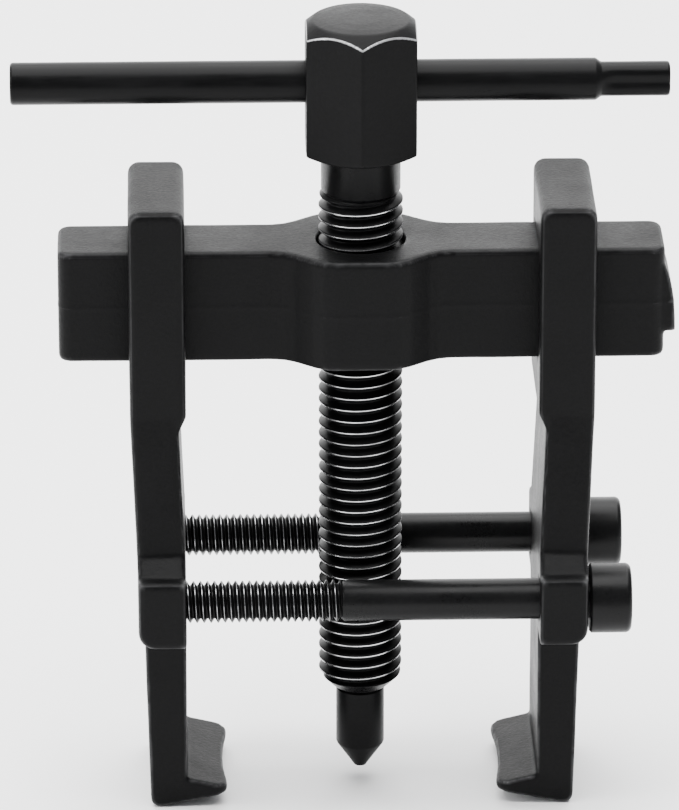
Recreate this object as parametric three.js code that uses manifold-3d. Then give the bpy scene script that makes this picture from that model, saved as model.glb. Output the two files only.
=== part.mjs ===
// Gear puller: a crossbar, two slotted jaws, two clamp bolts, and a forcing screw turned by a sliding bar.
// Millimetres. The origin is the flat end of the screw's point, +Z runs up the screw, +X along the crossbar.
import * as THREE from "three";
import { mergeVertices } from "three/addons/utils/BufferGeometryUtils.js";
import Module from "manifold-3d";

const wasm = await Module();
wasm.setup();

// Driving dimensions.
const runningGap = 0.3;
const joinOverlap = 0.5;
const arcSteps = 32;

const crossbarLength = 86;
const crossbarHeight = 16.5;
const crossbarThickness = 11.9;
const crossbarBottom = 66.2;
const crossbarEdge = 0.6;
const crossbarCorner = 1.8;
const bossWall = 4.2;
const bossFlatHalf = 3.6;
const flareLength = 9.2;
const flareEase = 0.42;
const endPadBulge = 1.6;
const endPadHeight = 10;
const endPadDrop = 2.9;
const endPadRound = 3.3;

const screwRadius = 6;
const screwPitch = 1.75;
const threadDepth = 1;
const threadSides = 14;
const threadTaper = 2;
const boreClearance = 0.3;
const boreMouth = 0.3;
const collarInset = 0.35;
const collarLength = 5.6;
const headClearance = 13.1;

const headAcrossFlats = 15.6;
const headHeight = 20;
const headCrown = 2.1;
const headRim = 1.1;
const headDome = 0.45;
const headFoot = 0.8;
const barLevel = 10.4;

const pointRadius = 3.5;
const pointTipRadius = 0.9;
const pointConeHeight = 4;
const pointLength = 13;
const stemRadius = 2.2;
const stemLength = 5;

const barRadius = 3;
const barLength = 92.8;
const barOffset = -2.9;
const barEndRadius = 2.45;
const barEndLength = 9.7;
const barEndTaper = 0.7;
const barGrooveRadius = 1.4;
const barGrooveDepth = 0.56;
const barChamfer = 0.5;

const jawSetting = 25;
const jawHeadThickness = 8;
const jawStep = 1.1;
const jawStepHeight = 2.4;
const jawPadDrop = 6.8;
const jawLean = 0.9;
const jawEdge = 0.8;
const windowClearance = 0.35;
const windowWall = 4.7;
const capWall = 7.5;
const capCorner = 1.6;

const boltToScrewGap = 3;
const boltLevel = 31.6;
const boltRadius = 3;
const boltPitch = 1;
const boltThreadDepth = 0.55;
const boltThreadSides = 10;
const boltThreadLength = 29;
const boltLength = 64;
const boltSides = 24;
const boltHeadRadius = 5;
const boltHeadLength = 6;
const boltHeadEdge = 0.6;
const socketAcrossFlats = 5;
const socketDepth = 3;

const earWall = 5.5;
const earHalfHeight = 5.2;
const shoulderRise = 2.4;
const shoulderWidth = 26;
const earCorner = 2.4;

const clawWidth = 22;
const clawBottom = -1.4;
const clawOuterInset = 1.6;
const clawLean = 0.8;
const clawThickness = 5.3;
const toeLength = 5.8;
const toeRoot = 4.5;
const toeTip = 1.2;
const toeSlope = 1.4;
const toeArcRadius = 60;
const toeCorner = 2.2;
const heelRadius = 1.4;

// Sizes that follow from the driving dimensions.
const crossbarTop = crossbarBottom + crossbarHeight;
const boreRadius = screwRadius + boreClearance;
const bossDepth = 2 * (boreRadius + bossWall);
const headBottom = crossbarTop + headClearance;
const headTop = headBottom + headHeight;
const headCornerRadius = headAcrossFlats / Math.sqrt(3);
const barHeight = headBottom + barLevel;
const screwBottom = pointLength + runningGap;
const collarRadius = screwRadius - collarInset;
const threadTop = headBottom - collarLength;
const windowBottom = crossbarBottom - windowClearance;
const windowTop = crossbarTop + windowClearance;
const windowHalfDepth = crossbarThickness / 2 + windowClearance;
const jawDepth = 2 * (windowHalfDepth + windowWall);
const jawTop = windowTop + capWall;
const jawPadBottom = crossbarBottom - jawPadDrop;
const jawOuter = jawSetting + jawHeadThickness;
const legInner = jawHeadThickness - jawStep;
const earInner = legInner + jawLean;
const boltOffset = screwRadius + boltRadius + boltToScrewGap;
const boltHoleRadius = boltRadius + runningGap;
const earDepth = 2 * (boltOffset + earWall);
const earTop = boltLevel + earHalfHeight;
const earBottom = boltLevel - earHalfHeight;
const boltSeat = jawOuter - jawLean + runningGap;

// A closed three.js geometry as a solid that can be cut and joined.
function solid(geometry) {
  const bare = geometry.index ? geometry.toNonIndexed() : geometry.clone();
  bare.deleteAttribute("normal");
  bare.deleteAttribute("uv");
  const merged = mergeVertices(bare, 1e-4);
  const corners = merged.index.array;
  const triVerts = [];
  for (let i = 0; i < corners.length; i += 3) {
    const [a, b, c] = corners.slice(i, i + 3);
    if (a !== b && b !== c && c !== a) triVerts.push(a, b, c);
  }
  const vertProperties = merged.attributes.position.array;
  return new wasm.Manifold(
    new wasm.Mesh({ numProp: 3, vertProperties, triVerts: new Uint32Array(triVerts) }),
  );
}

// A solid as a named mesh with its own material.
function piece(name, body, color, roughness) {
  const data = body.getMesh();
  const geometry = new THREE.BufferGeometry();
  geometry.setAttribute("position", new THREE.BufferAttribute(data.vertProperties, 3));
  geometry.setIndex(new THREE.BufferAttribute(data.triVerts, 1));
  geometry.computeVertexNormals();
  const material = new THREE.MeshStandardMaterial({ color, roughness, metalness: 0.85 });
  const mesh = new THREE.Mesh(geometry, material);
  mesh.name = name;
  return mesh;
}

// A round solid about Z from a list of [radius, height], listed upwards.
function turned(profile, sides = arcSteps) {
  const points = profile.map(([radius, height]) => new THREE.Vector2(radius, height));
  return solid(new THREE.LatheGeometry(points, sides).rotateX(Math.PI / 2));
}

// A cylinder about Z between two heights.
function rod(radius, low, high, sides = arcSteps) {
  return turned([[0, low], [radius, low], [radius, high], [0, high]], sides);
}

// An outline drawn in X and Z, given an even depth along Y about the middle, with chamfered rims.
function slab(outline, depth, edge) {
  const geometry = new THREE.ExtrudeGeometry(outline, {
    depth: depth - 2 * edge,
    bevelEnabled: edge > 0,
    bevelThickness: edge,
    bevelSize: edge,
    bevelOffset: -edge,
    bevelSegments: 2,
    curveSegments: 6,
  });
  return solid(geometry.rotateX(Math.PI / 2).translate(0, depth / 2 - edge, 0));
}

function box(low, high) {
  const size = high.map((value, i) => value - low[i]);
  const middle = high.map((value, i) => (value + low[i]) / 2);
  return solid(new THREE.BoxGeometry(...size).translate(...middle));
}

// A regular hexagonal prism about Z with its corners on the Y axis.
function hexagon(acrossFlats, low, high) {
  return rod(acrossFlats / Math.sqrt(3), low, high, 6);
}

// A right-hand V thread about Z: its rows follow the helix, crest and root by turns.
function thread(radius, depth, pitch, low, high, sides) {
  const rows = 2 * Math.ceil((high - low) / pitch + 3);
  const start = low - 1.5 * pitch;
  const positions = [];
  for (let row = 0; row <= rows + 2; row++) {
    const r = row % 2 ? radius - depth : radius;
    for (let side = 0; side < sides; side++) {
      const turn = side / sides;
      const angle = 2 * Math.PI * turn;
      positions.push(r * Math.cos(angle), r * Math.sin(angle), start + pitch * (row / 2 + turn));
    }
  }
  const at = (row, side) => (side < sides ? row * sides + side : (row + 2) * sides);
  const index = [];
  for (let row = 0; row < rows; row++)
    for (let side = 0; side < sides; side++) {
      const [a, b] = [at(row, side), at(row, side + 1)];
      const [c, d] = [at(row + 1, side + 1), at(row + 1, side)];
      index.push(a, b, c, a, c, d);
    }
  const bottom = positions.length / 3;
  positions.push(0, 0, start + pitch / 2, 0, 0, start + pitch * (rows / 2 + 0.5));
  for (let side = 0; side < sides; side++) {
    index.push(bottom, at(0, side + 1), at(0, side));
    index.push(bottom + 1, at(rows, side), at(rows, side + 1));
  }
  for (const step of [0, 1]) {
    index.push(bottom, at(step, 0), at(step + 1, 0));
    index.push(bottom + 1, at(rows + step + 1, 0), at(rows + step, 0));
  }
  const geometry = new THREE.BufferGeometry();
  geometry.setAttribute("position", new THREE.Float32BufferAttribute(positions, 3));
  geometry.setIndex(index);
  return solid(geometry);
}

// Turn a solid made about Z so that it lies along X.
function alongX(body) {
  return body.rotate([0, 90, 0]);
}

// Crossbar: a flat bar that swells evenly into the boss around the screw.
function crossbar() {
  const [half, side, boss] = [crossbarLength / 2, crossbarThickness / 2, bossDepth / 2];
  const [flare, flat, c] = [bossFlatHalf + flareLength, bossFlatHalf, crossbarCorner];
  const bend = flareEase * flareLength;
  const plan = new THREE.Shape();
  plan.moveTo(-half + c, -side);
  plan.lineTo(-flare, -side);
  plan.bezierCurveTo(-flare + bend, -side, -flat - bend, -boss, -flat, -boss);
  plan.lineTo(flat, -boss);
  plan.bezierCurveTo(flat + bend, -boss, flare - bend, -side, flare, -side);
  plan.lineTo(half - c, -side);
  plan.absarc(half - c, -side + c, c, -Math.PI / 2, 0);
  plan.absarc(half - c, side - c, c, 0, Math.PI / 2);
  plan.lineTo(flare, side);
  plan.bezierCurveTo(flare - bend, side, flat + bend, boss, flat, boss);
  plan.lineTo(-flat, boss);
  plan.bezierCurveTo(-flat - bend, boss, -flare + bend, side, -flare, side);
  plan.lineTo(-half + c, side);
  plan.absarc(-half + c, side - c, c, Math.PI / 2, Math.PI);
  plan.absarc(-half + c, -side + c, c, Math.PI, 1.5 * Math.PI);
  const bar = slab(plan, crossbarHeight, crossbarEdge)
    .rotate([-90, 0, 0])
    .translate([0, 0, crossbarBottom + crossbarHeight / 2]);
  const [low, high] = [crossbarBottom - 1, crossbarTop + 1];
  const bore = turned([
    [0, low],
    [boreRadius + boreMouth + 1, low],
    [boreRadius, crossbarBottom + boreMouth],
    [boreRadius, crossbarTop - boreMouth],
    [boreRadius + boreMouth + 1, high],
    [0, high],
  ]);
  return bar.subtract(bore).add(endPad());
}

// The low rounded pad left on the right end of the crossbar, cut off square below.
function endPad() {
  const top = crossbarTop - endPadDrop;
  const end = crossbarLength / 2;
  const root = end - crossbarCorner;
  const outline = new THREE.Shape();
  outline.moveTo(root, top - endPadHeight);
  outline.lineTo(end + endPadBulge, top - endPadHeight);
  outline.quadraticCurveTo(end + endPadBulge, top - endPadRound, end, top);
  outline.lineTo(root, top);
  return slab(outline, crossbarThickness - 2 * crossbarEdge, crossbarEdge);
}

// A thread about Z whose lower end is turned to a cone, as it is cut to start in a nut.
function endedThread(radius, depth, pitch, low, high, sides, taper) {
  const spare = 1;
  const envelope = turned([
    [0, low],
    [radius - taper, low],
    [radius + spare, low + taper + spare],
    [radius + spare, high],
    [0, high],
  ]);
  return thread(radius, depth, pitch, low, high, sides).intersect(envelope);
}

// The forcing screw in one piece: threaded rod, plain collar and hexagon head cross-drilled for the bar.
function forcingScrew() {
  const threaded = endedThread(
    screwRadius, threadDepth, screwPitch, screwBottom, threadTop, threadSides, threadTaper,
  );
  const collar = rod(collarRadius, threadTop - joinOverlap, headBottom + joinOverlap);
  const pocket = rod(stemRadius + runningGap, screwBottom - 1, screwBottom + stemLength);
  const barHole = alongX(rod(barRadius + runningGap, -headAcrossFlats, headAcrossFlats));
  return threaded
    .add(collar)
    .add(screwHead())
    .subtract(pocket)
    .subtract(barHole.translate([0, 0, barHeight]));
}

// The head: a hexagon whose corners are turned off to a shallow crown above and a bevel below.
function screwHead() {
  const flatRadius = headAcrossFlats / 2;
  const slope = (headCrown - headRim) / (headCornerRadius - flatRadius);
  const crown = turned([
    [0, headBottom],
    [flatRadius, headBottom],
    [headCornerRadius + headFoot, headBottom + headFoot],
    [headCornerRadius + headFoot, headTop - headCrown - slope * headFoot],
    [flatRadius - headDome, headTop - headRim + slope * headDome],
    [flatRadius / 2, headTop],
    [0, headTop],
  ]);
  return hexagon(headAcrossFlats, headBottom, headTop).intersect(crown);
}

// The hardened point, which turns freely on its stem in the end of the screw.
function screwPoint() {
  return turned([
    [0, 0],
    [pointTipRadius, 0],
    [pointRadius, pointConeHeight],
    [pointRadius, pointLength],
    [stemRadius, pointLength],
    [stemRadius, pointLength + stemLength],
    [0, pointLength + stemLength],
  ]);
}

// The sliding bar: plain, with a chamfer at one end and a reduced, grooved end at the other.
function slidingBar() {
  const half = barLength / 2;
  const bar = turned([
    [0, -half],
    [barRadius - barChamfer, -half],
    [barRadius, -half + barChamfer],
    [barRadius, half - barEndLength - barEndTaper],
    [barEndRadius, half - barEndLength],
    [barEndRadius, half - barChamfer],
    [barEndRadius - barChamfer, half],
    [0, half],
  ]);
  const groove = rod(barGrooveRadius, half - barEndLength, half + 1, 16);
  const grooveReach = barEndRadius + barGrooveRadius - barGrooveDepth;
  const cut = bar.subtract(groove.translate([0, -grooveReach, 0])).subtract(
    groove.translate([0, grooveReach, 0]),
  );
  return alongX(cut).translate([barOffset, 0, barHeight]);
}

// A clamp bolt: plain shank, threaded end and socket head, drawn about Z with its head up.
function clampBolt(y) {
  const threadStart = boltThreadLength - boltLength;
  const shank = rod(boltRadius, threadStart - joinOverlap, joinOverlap, boltSides);
  const threaded = endedThread(
    boltRadius, boltThreadDepth, boltPitch, -boltLength, threadStart, boltThreadSides,
    boltThreadDepth,
  );
  const head = turned(
    [
      [0, 0],
      [boltHeadRadius, 0],
      [boltHeadRadius, boltHeadLength - boltHeadEdge],
      [boltHeadRadius - boltHeadEdge, boltHeadLength],
      [0, boltHeadLength],
    ],
    boltSides,
  );
  const socket = hexagon(socketAcrossFlats, boltHeadLength - socketDepth, boltHeadLength + 1);
  const bolt = threaded.add(shank).add(head).subtract(socket);
  return alongX(bolt).translate([boltSeat, y, boltLevel]);
}

// The upper jaw, from its round-edged cap down to the ears. X is measured inwards from the outer face.
function jawHeadOutline() {
  const cornerLevel = jawTop - capCorner;
  const outline = new THREE.Shape();
  outline.moveTo(capCorner, jawTop);
  outline.absarc(capCorner, cornerLevel, capCorner, Math.PI / 2, Math.PI);
  outline.lineTo(0, jawPadBottom);
  outline.lineTo(jawLean, earTop);
  outline.lineTo(jawLean, boltLevel);
  outline.lineTo(earInner, boltLevel);
  outline.lineTo(earInner, earTop);
  outline.lineTo(legInner, jawPadBottom - jawStepHeight);
  outline.lineTo(jawHeadThickness, jawPadBottom);
  outline.absarc(jawHeadThickness - capCorner, cornerLevel, capCorner, 0, Math.PI / 2);
  return outline;
}

// The ears that carry the bolts, with their lower outer corner rounded off.
function earOutline() {
  const outline = new THREE.Shape();
  outline.moveTo(jawLean, earTop);
  outline.lineTo(jawLean, earBottom + earCorner);
  outline.absarc(jawLean + earCorner, earBottom + earCorner, earCorner, Math.PI, 1.5 * Math.PI);
  outline.lineTo(earInner, earBottom);
  outline.lineTo(earInner, earTop);
  return outline;
}

// The shoulders: the leg leans in and widens steadily from the pad down, then slopes out to the ears.
function shoulders() {
  const [neck, shoulder, ear] = [jawDepth / 2, shoulderWidth / 2, earDepth / 2 - jawEdge];
  const legHeight = jawPadBottom - earTop;
  const outline = new THREE.Shape();
  outline.moveTo(-ear, -jawEdge);
  outline.lineTo(ear, -jawEdge);
  outline.lineTo(shoulder, shoulderRise);
  outline.lineTo(neck, legHeight);
  outline.lineTo(-neck, legHeight);
  outline.lineTo(-shoulder, shoulderRise);
  const lean = Math.atan2(jawLean, legHeight) * (180 / Math.PI);
  return slab(outline, legInner, jawEdge)
    .rotate([0, 0, 90])
    .rotate([0, -lean, 0])
    .translate([(jawLean + earInner) / 2, 0, earTop]);
}

// The claw: a thin leg that leans in a little and turns into a wedge-shaped toe.
function clawOutline() {
  const heel = clawOuterInset + clawLean;
  const inner = heel + clawThickness;
  const tip = inner + toeLength;
  const outline = new THREE.Shape();
  outline.moveTo(clawOuterInset, boltLevel);
  outline.lineTo(heel, clawBottom + heelRadius);
  outline.quadraticCurveTo(heel, clawBottom, heel + heelRadius, clawBottom);
  outline.lineTo(tip, clawBottom + toeRoot - toeSlope - toeTip);
  outline.lineTo(tip, clawBottom + toeRoot - toeSlope);
  outline.lineTo(inner, clawBottom + toeRoot);
  outline.lineTo(earInner, boltLevel);
  return outline;
}

// The plan of the claw: round corners at the toe and a hollow edge that fits round a hub.
function clawPlan() {
  const tip = clawOuterInset + clawLean + clawThickness + toeLength;
  const [half, c] = [clawWidth / 2, toeCorner];
  const plan = new THREE.Shape();
  plan.moveTo(-1, -half);
  plan.lineTo(tip - c, -half);
  plan.absarc(tip - c, -half + c, c, -Math.PI / 2, 0);
  const hollow = (half - c) ** 2 / toeArcRadius;
  plan.quadraticCurveTo(tip - hollow, 0, tip, half - c);
  plan.absarc(tip - c, half - c, c, 0, Math.PI / 2);
  plan.lineTo(-1, half);
  const height = boltLevel - clawBottom + 2;
  const geometry = new THREE.ExtrudeGeometry(plan, {
    depth: height,
    bevelEnabled: false,
    curveSegments: 4,
  });
  return solid(geometry.translate(0, 0, clawBottom - 1));
}

// One jaw, drawn with its outer face at X = 0 and its toe towards +X.
function jaw() {
  const upper = slab(jawHeadOutline(), jawDepth, jawEdge);
  const ears = slab(earOutline(), earDepth, jawEdge);
  const claw = slab(clawOutline(), clawWidth, jawEdge / 2).intersect(clawPlan());
  const window = box(
    [-1, -windowHalfDepth, windowBottom],
    [jawHeadThickness + 1, windowHalfDepth, windowTop],
  );
  const hole = alongX(rod(boltHoleRadius, -1, jawHeadThickness + 1));
  return upper
    .add(ears)
    .add(shoulders())
    .add(claw)
    .subtract(window)
    .subtract(hole.translate([0, boltOffset, boltLevel]))
    .subtract(hole.translate([0, -boltOffset, boltLevel]));
}

const forged = 0x1b1b1c;
const ground = 0x141415;
const oneJaw = jaw();

const puller = new THREE.Group();
puller.add(
  piece("crossbar", crossbar(), forged, 0.5),
  piece("left_jaw", oneJaw.translate([-jawOuter, 0, 0]), forged, 0.5),
  piece("right_jaw", oneJaw.mirror([1, 0, 0]).translate([jawOuter, 0, 0]), forged, 0.5),
  piece("front_bolt", clampBolt(-boltOffset), ground, 0.4),
  piece("rear_bolt", clampBolt(boltOffset), ground, 0.4),
  piece("forcing_screw", forcingScrew(), ground, 0.4),
  piece("screw_point", screwPoint(), ground, 0.45),
  piece("sliding_bar", slidingBar(), ground, 0.4),
);

export default puller;
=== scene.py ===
# Gear puller: fine forgings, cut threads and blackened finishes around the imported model.
import math

import bmesh
import bpy
import numpy as np
from mathutils import Matrix, Vector, noise


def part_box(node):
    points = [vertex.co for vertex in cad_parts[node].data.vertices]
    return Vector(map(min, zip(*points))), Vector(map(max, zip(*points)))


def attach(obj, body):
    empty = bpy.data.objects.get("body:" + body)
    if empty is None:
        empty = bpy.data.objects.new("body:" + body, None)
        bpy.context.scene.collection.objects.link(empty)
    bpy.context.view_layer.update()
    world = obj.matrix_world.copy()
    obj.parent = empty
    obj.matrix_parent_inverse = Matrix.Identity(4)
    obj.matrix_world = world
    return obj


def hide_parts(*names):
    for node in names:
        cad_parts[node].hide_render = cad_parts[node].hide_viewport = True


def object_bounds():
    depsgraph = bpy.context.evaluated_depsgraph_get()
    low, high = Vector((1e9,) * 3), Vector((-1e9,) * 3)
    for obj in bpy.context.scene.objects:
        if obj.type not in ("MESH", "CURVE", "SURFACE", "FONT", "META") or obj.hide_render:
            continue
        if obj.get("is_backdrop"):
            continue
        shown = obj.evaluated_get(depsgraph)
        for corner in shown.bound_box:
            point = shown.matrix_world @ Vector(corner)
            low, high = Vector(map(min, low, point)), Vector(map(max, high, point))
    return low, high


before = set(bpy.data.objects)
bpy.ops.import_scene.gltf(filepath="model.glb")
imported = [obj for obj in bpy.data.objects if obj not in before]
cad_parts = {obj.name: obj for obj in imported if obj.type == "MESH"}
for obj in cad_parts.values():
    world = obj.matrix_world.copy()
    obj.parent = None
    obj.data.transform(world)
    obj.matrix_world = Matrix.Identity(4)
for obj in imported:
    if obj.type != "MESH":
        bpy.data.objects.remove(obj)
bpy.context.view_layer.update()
mm = 0.001
print("frame read")


def addNode(tree, kind, **values):
    node = tree.nodes.new(kind)
    for name, value in values.items():
        setattr(node, name, value)
    return node


def feed(tree, socket, value):
    if isinstance(value, bpy.types.NodeSocket):
        tree.links.new(value, socket)
    else:
        socket.default_value = value


def mathNode(tree, operation, *values):
    node = addNode(tree, "ShaderNodeMath", operation=operation)
    for socket, value in zip(node.inputs, values):
        feed(tree, socket, value)
    return node.outputs[0]


def rangeNode(tree, value, low, high, toLow=0.0, toHigh=1.0):
    node = addNode(tree, "ShaderNodeMapRange")
    for name, given in (("Value", value), ("From Min", low), ("From Max", high),
                        ("To Min", toLow), ("To Max", toHigh)):
        feed(tree, node.inputs[name], given)
    return node.outputs[0]


# The threaded rod: a sheet wrapped round Z whose rows climb with the helix, sixteen rows to each turn.
def threadTree():
    tree = bpy.data.node_groups.new("threadedRod", "GeometryNodeTree")
    sockets = tree.interface
    for name, kind in (("Radius", "NodeSocketFloat"), ("Depth", "NodeSocketFloat"),
                       ("Pitch", "NodeSocketFloat"), ("Length", "NodeSocketFloat"),
                       ("Low Taper", "NodeSocketFloat"), ("High Taper", "NodeSocketFloat"),
                       ("Turns", "NodeSocketInt"), ("Columns", "NodeSocketInt"),
                       ("Material", "NodeSocketMaterial")):
        sockets.new_socket(name=name, in_out="INPUT", socket_type=kind)
    sockets.new_socket(name="Geometry", in_out="OUTPUT", socket_type="NodeSocketGeometry")
    given = addNode(tree, "NodeGroupInput").outputs
    span = mathNode(tree, "MULTIPLY", given["Turns"], given["Pitch"])
    grid = addNode(tree, "GeometryNodeMeshGrid")
    feed(tree, grid.inputs["Size X"], span)
    feed(tree, grid.inputs["Size Y"], 2 * math.pi)
    feed(tree, grid.inputs["Vertices X"], mathNode(tree, "MULTIPLY_ADD", given["Turns"], 16.0, 1.0))
    feed(tree, grid.inputs["Vertices Y"], given["Columns"])
    place = addNode(tree, "ShaderNodeSeparateXYZ")
    feed(tree, place.inputs[0], addNode(tree, "GeometryNodeInputPosition").outputs[0])
    angle = place.outputs["Y"]
    along = mathNode(tree, "MULTIPLY_ADD", span, 0.5, place.outputs["X"])
    row = mathNode(tree, "DIVIDE", along, given["Pitch"])
    climb = mathNode(tree, "ADD", row, mathNode(tree, "DIVIDE", angle, 2 * math.pi))
    free = mathNode(tree, "MULTIPLY", mathNode(tree, "SUBTRACT", climb, 1.0), given["Pitch"])
    height = mathNode(tree, "MAXIMUM", 0.0, mathNode(tree, "MINIMUM", free, given["Length"]))
    phase = mathNode(tree, "FRACT", mathNode(tree, "ADD", row, 0.001))
    ridge = mathNode(tree, "ABSOLUTE", mathNode(tree, "MULTIPLY_ADD", phase, 2.0, -1.0))
    flank = rangeNode(tree, ridge, 0.125, 0.872)  # flat root and flat crest, each an eighth of the pitch
    cut = mathNode(tree, "MULTIPLY", given["Depth"], mathNode(tree, "SUBTRACT", 1.0, flank))
    threaded = mathNode(tree, "SUBTRACT", given["Radius"], cut)
    lowEnd = mathNode(tree, "SUBTRACT", given["Radius"], given["Low Taper"])
    lowCone = mathNode(tree, "ADD", lowEnd, height)
    highEnd = mathNode(tree, "SUBTRACT", given["Radius"], given["High Taper"])
    highCone = mathNode(tree, "ADD", highEnd, mathNode(tree, "SUBTRACT", given["Length"], height))
    radius = mathNode(tree, "MINIMUM", threaded, mathNode(tree, "MINIMUM", lowCone, highCone))
    wrapped = addNode(tree, "ShaderNodeCombineXYZ")
    feed(tree, wrapped.inputs["X"], mathNode(tree, "MULTIPLY", radius, mathNode(tree, "COSINE", angle)))
    feed(tree, wrapped.inputs["Y"], mathNode(tree, "MULTIPLY", radius, mathNode(tree, "SINE", angle)))
    feed(tree, wrapped.inputs["Z"], height)
    # The crest flats are kept as "edge" for a painted highlight: a thin bright bare-steel line along each
    # crest.
    fullness = rangeNode(tree, mathNode(tree, "DIVIDE", radius, given["Radius"]), 0.97, 0.995)
    crest = mathNode(tree, "MULTIPLY", rangeNode(tree, ridge, 0.93, 0.99), fullness)
    stored = addNode(tree, "GeometryNodeStoreNamedAttribute", data_type="FLOAT", domain="POINT")
    feed(tree, stored.inputs["Geometry"], grid.outputs["Mesh"])
    feed(tree, stored.inputs["Name"], "edge")
    feed(tree, stored.inputs["Value"], crest)
    moved = addNode(tree, "GeometryNodeSetPosition")
    feed(tree, moved.inputs["Geometry"], stored.outputs["Geometry"])
    feed(tree, moved.inputs["Position"], wrapped.outputs[0])
    welded = addNode(tree, "GeometryNodeMergeByDistance")
    feed(tree, welded.inputs["Geometry"], moved.outputs["Geometry"])
    feed(tree, welded.inputs["Distance"], 1e-6)
    real = addNode(tree, "GeometryNodeRealizeInstances")
    feed(tree, real.inputs["Geometry"], welded.outputs["Geometry"])
    painted = addNode(tree, "GeometryNodeSetMaterial")
    feed(tree, painted.inputs["Geometry"], real.outputs["Geometry"])
    feed(tree, painted.inputs["Material"], given["Material"])
    feed(tree, addNode(tree, "NodeGroupOutput").inputs["Geometry"], painted.outputs["Geometry"])
    return tree


threadedRod = threadTree()
print("thread tree made")


def newObject(name, data):
    piece = bpy.data.objects.new(name, data)
    bpy.context.scene.collection.objects.link(piece)
    return piece


# The evaluated object as a plain mesh; the object it came from is removed.
def settled(piece):
    bpy.context.view_layer.update()
    graph = bpy.context.evaluated_depsgraph_get()
    mesh = bpy.data.meshes.new_from_object(piece.evaluated_get(graph), depsgraph=graph)
    bpy.data.objects.remove(piece)
    return mesh


# The threaded rod at its own sizes, with its two ends closed.
def threadMesh(sizes, length, lowTaper, highTaper, material):
    rod = newObject("rodDraft", bpy.data.meshes.new("rodDraft"))
    modifier = rod.modifiers.new("thread", "NODES")
    modifier.node_group = threadedRod
    values = {
        "Radius": sizes["radius"], "Depth": sizes["depth"], "Pitch": sizes["pitch"],
        "Length": length, "Low Taper": lowTaper, "High Taper": highTaper,
        "Turns": math.ceil(length / sizes["pitch"]) + 2, "Columns": sizes["columns"] + 1,
        "Material": material,
    }
    for item in threadedRod.interface.items_tree:
        if item.in_out == "INPUT":
            modifier[item.identifier] = values[item.name]
    mesh = settled(rod)
    build = bmesh.new()
    build.from_mesh(mesh)
    bmesh.ops.holes_fill(build, edges=build.edges, sides=0)
    bmesh.ops.recalc_face_normals(build, faces=build.faces)
    build.to_mesh(mesh)
    build.free()
    return mesh


# A round body about Z from a list of (radius, height); reshape may change a radius by its angle.
def turnedMesh(name, profile, columns, reshape=None):
    build = bmesh.new()
    rings = []
    for radius, height in profile:
        if radius < 1e-7:
            rings.append([build.verts.new((0, 0, height))])
            continue
        ring = []
        for column in range(columns):
            angle = 2 * math.pi * column / columns
            r = reshape(radius, height, angle) if reshape else radius
            ring.append(build.verts.new((r * math.cos(angle), r * math.sin(angle), height)))
        rings.append(ring)
    for low, high in zip(rings, rings[1:]):
        for column in range(columns):
            after = (column + 1) % columns
            corners = [low[column % len(low)], low[after % len(low)],
                       high[after % len(high)], high[column % len(high)]]
            build.faces.new(list(dict.fromkeys(corners)))
    bmesh.ops.recalc_face_normals(build, faces=build.faces)
    mesh = bpy.data.meshes.new(name)
    build.to_mesh(mesh)
    build.free()
    return mesh


# A quarter round from one profile point to another, bulging outwards.
def roundOver(centreRadius, centreHeight, radius, start, end, steps=6):
    return [(centreRadius + radius * math.cos(math.radians(start + (end - start) * i / steps)),
             centreHeight + radius * math.sin(math.radians(start + (end - start) * i / steps)))
            for i in range(steps + 1)]


# Two closed meshes cut or joined into one.
def combine(base, tool, operation):
    holder, cutter = newObject("base", base), newObject("tool", tool)
    modifier = holder.modifiers.new("cut", "BOOLEAN")
    modifier.operation, modifier.object, modifier.solver = operation, cutter, "EXACT"
    mesh = settled(holder)
    bpy.data.objects.remove(cutter)
    return mesh


# Even quads all over a solid, with its edges and inner corners softened as dies and tumbling leave them.
def softened(mesh, voxel, relaxSteps):
    draft = newObject("draft", mesh)
    remesh = draft.modifiers.new("voxels", "REMESH")
    remesh.mode, remesh.voxel_size, remesh.adaptivity = "VOXEL", voxel, 0.0
    relax = draft.modifiers.new("relax", "SMOOTH")
    relax.factor, relax.iterations = 0.5, relaxSteps
    return settled(draft)


def moved(mesh, offset=(0, 0, 0), turn=None):
    matrix = Matrix.Translation(offset)
    if turn:
        matrix = matrix @ turn
    mesh.transform(matrix)
    return mesh


# How far each vertex stands out from its neighbours, kept on the mesh as "edge" for the rubbed edges and
# the painted highlight lines along them.
def markEdges(mesh, gain):
    count = len(mesh.vertices)
    points = np.zeros(count * 3)
    normals = np.zeros(count * 3)
    mesh.vertices.foreach_get("co", points)
    mesh.vertices.foreach_get("normal", normals)
    points, normals = points.reshape(-1, 3), normals.reshape(-1, 3)
    ends = np.zeros(len(mesh.edges) * 2, int)
    mesh.edges.foreach_get("vertices", ends)
    ends = ends.reshape(-1, 2)
    along = points[ends[:, 1]] - points[ends[:, 0]]
    along /= np.maximum(np.linalg.norm(along, axis=1), 1e-9)[:, None]
    bend, links = np.zeros(count), np.zeros(count)
    for here, sign in ((0, -1.0), (1, 1.0)):
        np.add.at(bend, ends[:, here], sign * (along * normals[ends[:, here]]).sum(1))
        np.add.at(links, ends[:, here], 1)
    bend = np.clip(gain * bend / np.maximum(links, 1), 0, 1)
    store = mesh.attributes.get("edge") or mesh.attributes.new("edge", "FLOAT", "POINT")
    store.data.foreach_set("value", bend.astype(np.float32))


# The slow waviness of a forged skin.
def rippled(mesh, height, size):
    points = np.zeros(len(mesh.vertices) * 3)
    normals = np.zeros(len(mesh.vertices) * 3)
    mesh.vertices.foreach_get("co", points)
    mesh.vertices.foreach_get("normal", normals)
    waves = np.repeat([noise.noise(Vector(point) / size) for point in points.reshape(-1, 3)], 3)
    mesh.vertices.foreach_set("co", points + normals * waves * height)
    mesh.update()


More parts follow.
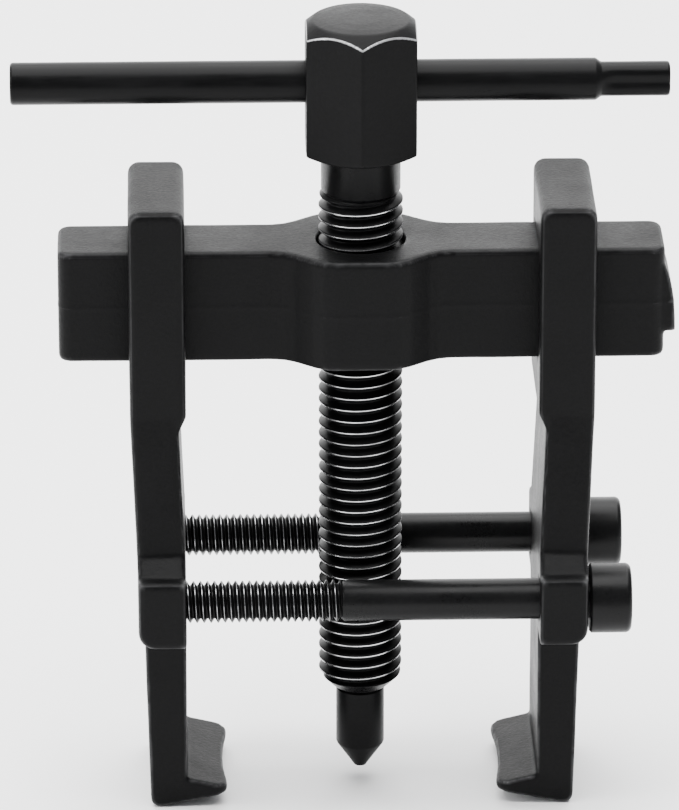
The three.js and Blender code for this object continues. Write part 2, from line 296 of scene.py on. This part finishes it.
# The meshes of one piece as one object with its finish, riding on its body in place of its CAD node.
def joined(name, meshes, material, body, node):
    build = bmesh.new()
    for mesh in meshes:
        build.from_mesh(mesh)
    mesh = bpy.data.meshes.new(name)
    build.to_mesh(mesh)
    build.free()
    mesh.materials.clear()
    mesh.materials.append(material)
    for face in mesh.polygons:
        face.use_smooth = True
        face.material_index = 0
    piece = newObject(name, mesh)
    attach(piece, body)
    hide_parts(node)
    print(name, len(mesh.polygons), "faces")
    return piece


def sharpened(mesh, degrees=35):
    mesh.set_sharp_from_angle(angle=math.radians(degrees))
    return mesh


def newGroup(name, inputs, outputs):
    tree = bpy.data.node_groups.new(name, "ShaderNodeTree")
    for label, kind, value in inputs:
        socket = tree.interface.new_socket(name=label, in_out="INPUT", socket_type=kind)
        if value is not None:
            socket.default_value = value
    for label, kind in outputs:
        tree.interface.new_socket(name=label, in_out="OUTPUT", socket_type=kind)
    return tree, addNode(tree, "NodeGroupInput").outputs, addNode(tree, "NodeGroupOutput").inputs


def noiseNode(tree, place, scale, detail=3.0, roughness=0.55):
    node = addNode(tree, "ShaderNodeTexNoise")
    feed(tree, node.inputs["Vector"], place)
    feed(tree, node.inputs["Scale"], scale)
    feed(tree, node.inputs["Detail"], detail)
    feed(tree, node.inputs["Roughness"], roughness)
    return node.outputs["Fac"]


# Black oxide: a fine even grain with broad cloudy patches, as a colour share, a roughness and a height.
def blackGrainGroup():
    tree, given, out = newGroup(
        "blackGrain",
        [("Grain Scale", "NodeSocketFloat", 3200.0), ("Cloud Scale", "NodeSocketFloat", 90.0),
         ("Stretch", "NodeSocketVector", (1.0, 1.0, 1.0)), ("Roughness", "NodeSocketFloat", 0.42)],
        [("Tone", "NodeSocketFloat"), ("Roughness", "NodeSocketFloat"), ("Height", "NodeSocketFloat")])
    coords = addNode(tree, "ShaderNodeTexCoord").outputs["Object"]
    stretched = addNode(tree, "ShaderNodeVectorMath", operation="MULTIPLY")
    feed(tree, stretched.inputs[0], coords)
    feed(tree, stretched.inputs[1], given["Stretch"])
    grain = noiseNode(tree, stretched.outputs[0], given["Grain Scale"], 4.0, 0.6)
    cloud = noiseNode(tree, coords, given["Cloud Scale"], 5.0, 0.6)
    feed(tree, out["Tone"], mathNode(tree, "ADD", rangeNode(tree, grain, 0.3, 0.7, 0.0, 0.55),
                                     rangeNode(tree, cloud, 0.35, 0.65, 0.0, 0.45)))
    rougher = mathNode(tree, "ADD", rangeNode(tree, grain, 0.3, 0.7, -0.05, 0.05),
                       rangeNode(tree, cloud, 0.35, 0.65, -0.05, 0.06))
    feed(tree, out["Roughness"], mathNode(tree, "ADD", given["Roughness"], rougher))
    feed(tree, out["Height"], mathNode(tree, "ADD", grain, mathNode(tree, "MULTIPLY", cloud, 0.6)))
    return tree


# Edge wear and painted highlight: the marked edges, broken up by noise into patches of bare bright steel,
# partly where the black has rubbed thin and partly a painted highlight line.
def wearAndHighlightGroup():
    tree, given, out = newGroup(
        "edgeWearAndHighlight",
        [("Amount", "NodeSocketFloat", 0.5), ("Breakup Scale", "NodeSocketFloat", 420.0)],
        [("Mask", "NodeSocketFloat")])
    edge = addNode(tree, "ShaderNodeAttribute", attribute_name="edge").outputs["Fac"]
    coords = addNode(tree, "ShaderNodeTexCoord").outputs["Object"]
    edge = rangeNode(tree, edge, 0.15, 0.75)
    patch = rangeNode(tree, noiseNode(tree, coords, given["Breakup Scale"], 4.0), 0.3, 0.62, 0.25, 1.0)
    broken = mathNode(tree, "MULTIPLY", edge, patch)
    feed(tree, out["Mask"], mathNode(tree, "MULTIPLY", broken, given["Amount"]))
    return tree


# A black oxide finish: the grain over the whole surface, and bare steel on the marked edges, partly rubbed
# steel and partly a painted highlight.
def blackFinish(name, look):
    material = bpy.data.materials.new(name)
    material.use_nodes = True
    tree = material.node_tree
    shader = tree.nodes["Principled BSDF"]
    grain = addNode(tree, "ShaderNodeGroup", node_tree=blackGrain)
    wearAndHighlight = addNode(tree, "ShaderNodeGroup", node_tree=edgeWearAndHighlight)
    grain.inputs["Grain Scale"].default_value = look["grainScale"]
    grain.inputs["Cloud Scale"].default_value = look["cloudScale"]
    grain.inputs["Stretch"].default_value = look["stretch"]
    grain.inputs["Roughness"].default_value = look["roughness"]
    wearAndHighlight.inputs["Amount"].default_value = look["wearAndHighlight"]
    wearAndHighlight.inputs["Breakup Scale"].default_value = look["breakup"]
    black = addNode(tree, "ShaderNodeMix", data_type="RGBA")
    feed(tree, black.inputs["Factor"], grain.outputs["Tone"])
    feed(tree, black.inputs["A"], look["dark"])
    feed(tree, black.inputs["B"], look["pale"])
    # Bare bright steel mixed in by the edge mask: rubbed edges, and painted highlight lines on edges,
    # thread crests and the head's rim.
    wornAndHighlit = addNode(tree, "ShaderNodeMix", data_type="RGBA")
    feed(tree, wornAndHighlit.inputs["Factor"], wearAndHighlight.outputs["Mask"])
    feed(tree, wornAndHighlit.inputs["A"], black.outputs["Result"])
    feed(tree, wornAndHighlit.inputs["B"], look["bare"])
    feed(tree, shader.inputs["Base Color"], wornAndHighlit.outputs["Result"])
    smoother = rangeNode(tree, wearAndHighlight.outputs["Mask"], 0.0, 1.0, 0.0, -0.12)
    feed(tree, shader.inputs["Roughness"], mathNode(tree, "ADD", grain.outputs["Roughness"], smoother))
    feed(tree, shader.inputs["Metallic"], rangeNode(tree, wearAndHighlight.outputs["Mask"], 0.0, 0.6, 0.0, 1.0))
    shader.inputs["IOR"].default_value = look["ior"]
    bump = addNode(tree, "ShaderNodeBump")
    bump.inputs["Strength"].default_value = look["bump"]
    bump.inputs["Distance"].default_value = 0.00005
    feed(tree, bump.inputs["Height"], grain.outputs["Height"])
    feed(tree, shader.inputs["Normal"], bump.outputs["Normal"])
    return material


blackGrain, edgeWearAndHighlight = blackGrainGroup(), wearAndHighlightGroup()
# The bare colour is partly rubbed steel and partly a painted highlight; dark and pale are the random grain
# tone.
baseLook = {"grainScale": 2000.0, "cloudScale": 90.0, "stretch": (1, 1, 1), "roughness": 0.43,
            "wearAndHighlight": 0.3, "breakup": 420.0, "dark": (0.002, 0.002, 0.0021, 1),
            "pale": (0.005, 0.005, 0.0052, 1), "bare": (0.42, 0.42, 0.43, 1), "ior": 1.155, "bump": 1.0}
forgedBlack = blackFinish("forgedBlack", baseLook)
screwBlack = blackFinish("screwBlack", baseLook | {"roughness": 0.33, "wearAndHighlight": 1.0, "breakup": 160.0,
                                                   "bump": 0.12, "bare": (0.85, 0.85, 0.86, 1)})
headBlack = blackFinish("headBlack", baseLook | {"wearAndHighlight": 1.0, "roughness": 0.45, "breakup": 160.0,
                                                 "bump": 0.6, "bare": (0.85, 0.85, 0.86, 1)})
boltBlack = blackFinish("boltBlack", baseLook | {"roughness": 0.32, "wearAndHighlight": 0.9, "bump": 0.02,
                                                 "ior": 1.2})
pointBlack = blackFinish("pointBlack", baseLook | {"roughness": 0.36, "wearAndHighlight": 0.5, "bump": 0.15})
barBlack = blackFinish("barBlack", baseLook | {"roughness": 0.34, "wearAndHighlight": 0.6, "stretch": (0.08, 1, 1),
                                               "bump": 0.2})
print("finishes made")


forging = {
    "voxel": 0.27 * mm,
    "relaxSteps": 7,
    "ripple": 0.04 * mm,
    "rippleSize": 7 * mm,
    "seam": 0.045 * mm,
    "seamWidth": 0.3 * mm,
    "seamUpright": 0.4,
    "boreReach": 8 * mm,
    "edgeGain": 3.0,
}


# The trimmed flash line left where the dies met, on the upright faces only.
def addSeam(mesh, level):
    points = np.zeros(len(mesh.vertices) * 3)
    normals = np.zeros(len(mesh.vertices) * 3)
    mesh.vertices.foreach_get("co", points)
    mesh.vertices.foreach_get("normal", normals)
    points, normals = points.reshape(-1, 3), normals.reshape(-1, 3)
    away = (points[:, 2] - level) / forging["seamWidth"]
    flash = forging["seam"] * np.exp(-away ** 2) * (abs(normals[:, 2]) < forging["seamUpright"])
    flash[np.hypot(points[:, 0], points[:, 1]) < forging["boreReach"]] = 0.0  # none in the tapped bore
    mesh.vertices.foreach_set("co", (points + normals * flash[:, None]).ravel())
    mesh.update()


# A forging from its CAD node: even quads, soft edges, a wavy skin and, on the crossbar, a seam.
def forgedPiece(node, body, seamLevel=None):
    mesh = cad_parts[node].data.copy()
    build = bmesh.new()
    build.from_mesh(mesh)
    bmesh.ops.remove_doubles(build, verts=build.verts, dist=1e-6)
    build.to_mesh(mesh)
    build.free()
    mesh = softened(mesh, forging["voxel"], forging["relaxSteps"])
    rippled(mesh, forging["ripple"], forging["rippleSize"])
    if seamLevel:
        addSeam(mesh, seamLevel)
    markEdges(mesh, forging["edgeGain"])
    joined(node + "_forging", [mesh], forgedBlack, body, node)


# A hexagonal prism about Z with its corners on the Y axis.
def hexPrism(acrossFlats, low, high):
    radius = acrossFlats / math.sqrt(3)
    turn = Matrix.Rotation(math.pi / 2, 4, "Z")
    prism = turnedMesh("hex", [(0, low), (radius, low), (radius, high), (0, high)], 6)
    return moved(prism, turn=turn)


headSizes = {
    "acrossFlats": 15.6 * mm,
    "height": 20.0 * mm,
    "crown": 2.1 * mm,
    "rim": 1.1 * mm,
    "dome": 0.45 * mm,
    "foot": 1.2 * mm,
    "holeRadius": 3.3 * mm,
    "barLevel": 10.4 * mm,
    "voxel": 0.17 * mm,
    "rimWidth": 0.12 * mm,
    "rimHighlight": 1.4,
    "relaxSteps": 6,
    "edgeGain": 0.5,
}


# The head: a hexagon turned off to a shallow crown above and a bevel below, cross-drilled for the bar.
def screwHead(low):
    sizes = headSizes
    high = low + sizes["height"]
    flat, corner = sizes["acrossFlats"] / 2, sizes["acrossFlats"] / math.sqrt(3)
    slope = (sizes["crown"] - sizes["rim"]) / (corner - flat)
    dome = sizes["dome"]
    crown = turnedMesh("crown", [
        (0, low), (flat - 0.3 * mm, low), (corner - 0.1 * mm, low + 0.6 * mm),
        (corner + 0.2 * mm, low + sizes["foot"]), (corner + 1 * mm, low + 4 * mm),
        (corner + 1 * mm, high - sizes["crown"] - slope * mm),
        (flat - dome * 0.6, high - sizes["rim"] + slope * dome * 0.6),
        (flat - dome * 2, high - dome * 0.85), (flat * 0.7, high - dome * 0.45),
        (flat * 0.4, high - dome * 0.15), (0, high)], 96)
    hole = turnedMesh("hole", [(0, -flat * 2), (sizes["holeRadius"], -flat * 2),
                               (sizes["holeRadius"], flat * 2), (0, flat * 2)], 64)
    moved(hole, (0, 0, low + sizes["barLevel"]), Matrix.Rotation(math.pi / 2, 4, "Y"))
    body = combine(hexPrism(sizes["acrossFlats"], low, high), crown, "INTERSECT")
    body = combine(body, hole, "DIFFERENCE")
    body = softened(body, sizes["voxel"], sizes["relaxSteps"])
    markEdges(body, sizes["edgeGain"])
    for vertex, mark in zip(body.vertices, body.attributes["edge"].data):
        x, y, z = vertex.co  # the crown's rim is painted bright: a painted highlight line along the edge of crown and flats
        half, upright = x / 2, y * math.sqrt(3) / 2
        toFlat = flat - max(abs(x), abs(half + upright), abs(half - upright))
        toCrown = high - sizes["crown"] + slope * (corner - math.hypot(x, y)) - z
        nearRim = math.exp(-(toFlat ** 2 + toCrown ** 2) / sizes["rimWidth"] ** 2)
        mark.value = max(mark.value, sizes["rimHighlight"] * nearRim)
    return body


screwSizes = {
    "radius": 6.0 * mm,
    "depth": 1.02 * mm,
    "pitch": 1.75 * mm,
    "collarRadius": 5.65 * mm,
    "collarLength": 5.6 * mm,
    "lowTaper": 2.0 * mm,
    "columns": 72,
}


# The forcing screw: threaded rod and plain collar in one piece, and the head as another.
def forcingScrew():
    sizes = screwSizes
    low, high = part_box("forcing_screw")[0].z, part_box("forcing_screw")[1].z
    headLow = high - headSizes["height"]
    threadTop = headLow - sizes["collarLength"]
    threaded = threadMesh(sizes, threadTop - low, sizes["lowTaper"], sizes["depth"], screwBlack)
    moved(threaded, (0, 0, low))
    radius = sizes["collarRadius"]
    collar = turnedMesh("collar", [
        (0, threadTop - 0.6 * mm), (radius - 0.5 * mm, threadTop - 0.5 * mm),
        (radius, threadTop + 0.1 * mm), (radius, headLow - 0.3 * mm),
        (radius + 0.3 * mm, headLow + 0.1 * mm), (0, headLow + 0.2 * mm)], sizes["columns"])
    markEdges(collar, 0.0)
    joined("forcing_screw_thread", [threaded, collar], screwBlack, "forcing_screw",
           "forcing_screw")
    joined("forcing_screw_head", [screwHead(headLow)], headBlack, "forcing_screw",
           "forcing_screw")


pointSizes = {
    "tipRadius": 0.9 * mm,
    "radius": 3.5 * mm,
    "cone": 4.0 * mm,
    "length": 13.0 * mm,
    "stemRadius": 2.2 * mm,
    "stemLength": 5.0 * mm,
    "rim": 0.35 * mm,
    "edgeGain": 0.6,
}


# The hardened point, on a stem that turns freely in the end of the screw.
def screwPoint():
    sizes = pointSizes
    rim, r, tip = sizes["rim"], sizes["radius"], sizes["tipRadius"]
    profile = [(0, 0), (tip * 0.7, 0.04 * mm), (tip, 0.16 * mm), (tip + 0.14 * mm, 0.4 * mm)]
    profile += [(r - 0.12 * mm, sizes["cone"] - 0.18 * mm), (r, sizes["cone"] + 0.15 * mm)]
    profile += [(r, sizes["length"] - rim), (r - rim, sizes["length"])]
    profile += [(sizes["stemRadius"], sizes["length"]),
                (sizes["stemRadius"], sizes["length"] + sizes["stemLength"]),
                (0, sizes["length"] + sizes["stemLength"])]
    mesh = sharpened(turnedMesh("point", profile, 72))
    markEdges(mesh, sizes["edgeGain"])
    joined("point_turned", [mesh], pointBlack, "screw_point", "screw_point")


boltSizes = {
    "radius": 3.0 * mm,
    "depth": 0.6 * mm,
    "pitch": 1.0 * mm,
    "threadLength": 29.0 * mm,
    "length": 64.0 * mm,
    "headRadius": 5.0 * mm,
    "headLength": 6.0 * mm,
    "headRound": 0.85 * mm,
    "socketFlats": 5.0 * mm,
    "socketDepth": 3.0 * mm,
    "headColumns": 96,
    "columns": 48,
}


# A clamp bolt: threaded end, plain shank and round-edged socket head, drawn about Z and laid along X.
def clampBolt(node):
    sizes = boltSizes
    low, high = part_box(node)
    place = Vector((high.x - sizes["headLength"], (low.y + high.y) / 2, (low.z + high.z) / 2))
    threadEnd = sizes["threadLength"] - sizes["length"]
    threaded = threadMesh(sizes, sizes["threadLength"], sizes["depth"], sizes["depth"], boltBlack)
    moved(threaded, (0, 0, -sizes["length"]))
    r, head, soft = sizes["radius"], sizes["headRadius"], sizes["headRound"]
    shank = turnedMesh("shank", [(0, threadEnd - 0.6 * mm), (r - 0.45 * mm, threadEnd - 0.5 * mm),
                                 (r - 0.05 * mm, threadEnd), (r - 0.05 * mm, 0.1 * mm),
                                 (0, 0.2 * mm)], sizes["columns"])
    end = sizes["headLength"]
    cap = [(0, 0), (head - 0.3 * mm, 0), (head, 0.3 * mm)]
    cap += roundOver(head - soft, end - soft, soft, 0, 90)
    cap += [(0, end)]
    capMesh = combine(turnedMesh("cap", cap, sizes["headColumns"]), hexPrism(
        sizes["socketFlats"], end - sizes["socketDepth"], end + 1 * mm), "DIFFERENCE")
    for mesh in (shank, capMesh):
        markEdges(mesh, 0.0)
    for mesh in (threaded, shank, capMesh):
        moved(mesh, place, Matrix.Rotation(math.pi / 2, 4, "Y"))
    piece = joined(node + "_turned", [threaded, shank, capMesh], boltBlack, node, node)
    sharpened(piece.data, 40)


barSizes = {
    "radius": 3.0 * mm,
    "endRadius": 2.45 * mm,
    "endLength": 9.7 * mm,
    "endTaper": 0.7 * mm,
    "grooveDepth": 0.75 * mm,
    "grooveWidth": 0.55,
    "round": 0.45 * mm,
    "edgeGain": 0.8,
    "columns": 96,
}


# The sliding bar: plain, with a smaller end pinched on two sides.
def slidingBar():
    sizes = barSizes
    low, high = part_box("sliding_bar")
    half, r, endR, soft = (high.x - low.x) / 2, sizes["radius"], sizes["endRadius"], sizes["round"]
    step = half - sizes["endLength"]

    def pinched(radius, height, angle):
        if height < step - 0.1 * mm:
            return radius
        share = min(1.0, (height - step + 0.1 * mm) / (1.2 * mm)) * radius / endR
        groove = 0.0
        for side in (math.pi / 2, -math.pi / 2):
            away = abs((angle - side + math.pi) % (2 * math.pi) - math.pi)
            groove = max(groove, math.exp(-(away / sizes["grooveWidth"]) ** 2))
        return radius - sizes["grooveDepth"] * share * groove

    profile = [(0, -half), (r - soft, -half)]
    profile += [(r - soft + soft * math.sin(a), -half + soft - soft * math.cos(a))
                for a in (0.4, 0.8, 1.2, 1.57)]
    profile += [(r, step - sizes["endTaper"] - 0.2 * mm), (r - 0.06 * mm, step - sizes["endTaper"]),
                (endR + 0.06 * mm, step - 0.1 * mm), (endR, step + 0.1 * mm)]
    profile += [(endR, step + 0.1 * mm + (half - soft - step - 0.1 * mm) * i / 12) for i in range(1, 13)]
    profile += [(endR - soft + soft * math.cos(a), half - soft + soft * math.sin(a))
                for a in (0.4, 0.8, 1.2, 1.57)]
    profile += [(0, half)]
    mesh = turnedMesh("bar", profile, sizes["columns"], pinched)
    markEdges(mesh, sizes["edgeGain"])
    place = Vector(((low.x + high.x) / 2, (low.y + high.y) / 2, (low.z + high.z) / 2))
    moved(mesh, place, Matrix.Rotation(math.pi / 2, 4, "Y"))
    piece = joined("sliding_bar_turned", [mesh], barBlack, "sliding_bar", "sliding_bar")
    sharpened(piece.data, 50)


low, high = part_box("crossbar")
forgedPiece("crossbar", "crossbar", (low.z + high.z) / 2)
for node in ("left_jaw", "right_jaw"):
    forgedPiece(node, node)
forcingScrew()
screwPoint()
for node in ("front_bolt", "rear_bolt"):
    clampBolt(node)
slidingBar()
print("pieces made")


cameraView = {
    "azimuth": -1.5,
    "elevation": 22.5,
    "distance": 1.0,
    "frameHeight": 116.046 * mm,
    "aim": (-3.0 * mm, 0.0, 56.9 * mm),
}

studioLights = {
    "floorSize": 3.0,
    "floorDrop": 0.05 * mm,
    "floorColor": (0.92, 0.92, 0.92, 1),
    "skyColor": (0.9, 0.92, 0.95, 1),
    "skyStrength": 0.5,
    "lamps": (("overhead", (0.0, 0.1, 1.0), 1.2, 47.0),  # name, place, width and power
              ("backdrop", (0.0, 1.2, 0.55), 1.6, 32.0),
              ("leftFill", (-0.9, -0.1, 0.4), 0.5, 8.0)),
}


def paleFloor():
    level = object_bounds()[0].z - studioLights["floorDrop"]
    size = studioLights["floorSize"]
    mesh = bpy.data.meshes.new("floor")
    corners = [(-size, -size, level), (size, -size, level), (size, size, level), (-size, size, level)]
    mesh.from_pydata(corners, [], [(0, 1, 2, 3)])
    paint = bpy.data.materials.new("paleFloor")
    paint.use_nodes = True
    shader = paint.node_tree.nodes["Principled BSDF"]
    shader.inputs["Base Color"].default_value = studioLights["floorColor"]
    shader.inputs["Roughness"].default_value = 0.9
    mesh.materials.append(paint)
    newObject("floor", mesh)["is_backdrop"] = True


def lighting():
    world = bpy.data.worlds.new("studio")
    bpy.context.scene.world = world
    world.use_nodes = True
    sky = world.node_tree.nodes["Background"]
    sky.inputs["Color"].default_value = studioLights["skyColor"]
    sky.inputs["Strength"].default_value = studioLights["skyStrength"]
    for name, place, width, power in studioLights["lamps"]:
        lamp = bpy.data.lights.new(name, "AREA")
        lamp.size, lamp.energy = width, power
        holder = newObject(name, lamp)
        holder.location = place
        toAim = Vector(cameraView["aim"]) - Vector(place)
        holder.rotation_euler = toAim.to_track_quat("-Z", "Y").to_euler()


def camera():
    view = cameraView
    azimuth, elevation = math.radians(view["azimuth"]), math.radians(view["elevation"])
    back = Vector((math.sin(azimuth) * math.cos(elevation), -math.cos(azimuth) * math.cos(elevation),
                   math.sin(elevation)))
    data = bpy.data.cameras.new("camera")
    data.lens = data.sensor_width * view["distance"] / view["frameHeight"]  # the frame is taller than wide
    holder = newObject("camera", data)
    holder.location = Vector(view["aim"]) + back * view["distance"]
    holder.rotation_euler = (-back).to_track_quat("-Z", "Y").to_euler()
    bpy.context.scene.camera = holder


paleFloor()
lighting()
camera()
print("scene ready")
